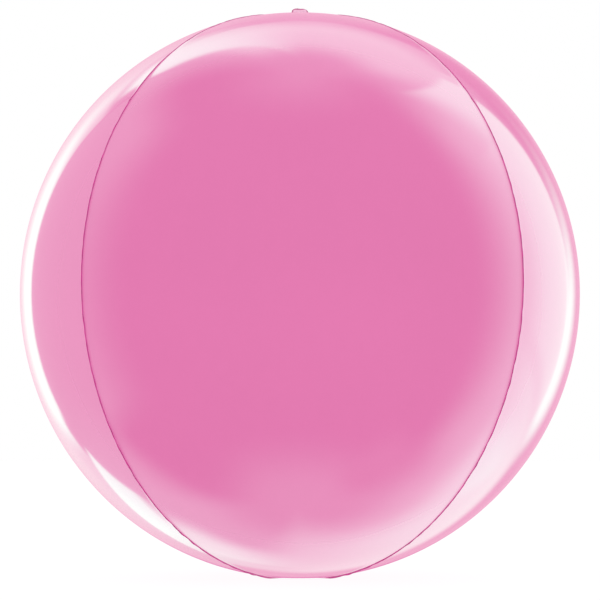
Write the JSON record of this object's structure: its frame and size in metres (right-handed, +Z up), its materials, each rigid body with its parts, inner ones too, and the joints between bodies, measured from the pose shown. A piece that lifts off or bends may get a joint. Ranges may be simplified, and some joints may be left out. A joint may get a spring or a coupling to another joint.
{
  "type": "orb foil balloon",
  "caption": "Round metallised film balloon, panels welded edge to edge, standing on a small flat spot, with a flat filling neck on top to fill and hang it by.",
  "frame": {"origin": "centre of the flat spot that the balloon stands on", "axes": "+Z up through the two poles to the filling neck; -Y faces the front panel's middle, +X the right panel's middle"},
  "size_m": [0.4, 0.4, 0.4108],
  "materials": {
    "panel_foil": "pink metallised film, mirror gloss",
    "neck_film": "pink film, glossy, lightly creased"
  },
  "bodies": {
    "root": {"front_panel": "panel_foil", "right_panel": "panel_foil", "back_panel": "panel_foil", "left_panel": "panel_foil", "filling_neck": "neck_film"}
  },
  "joints": []
}
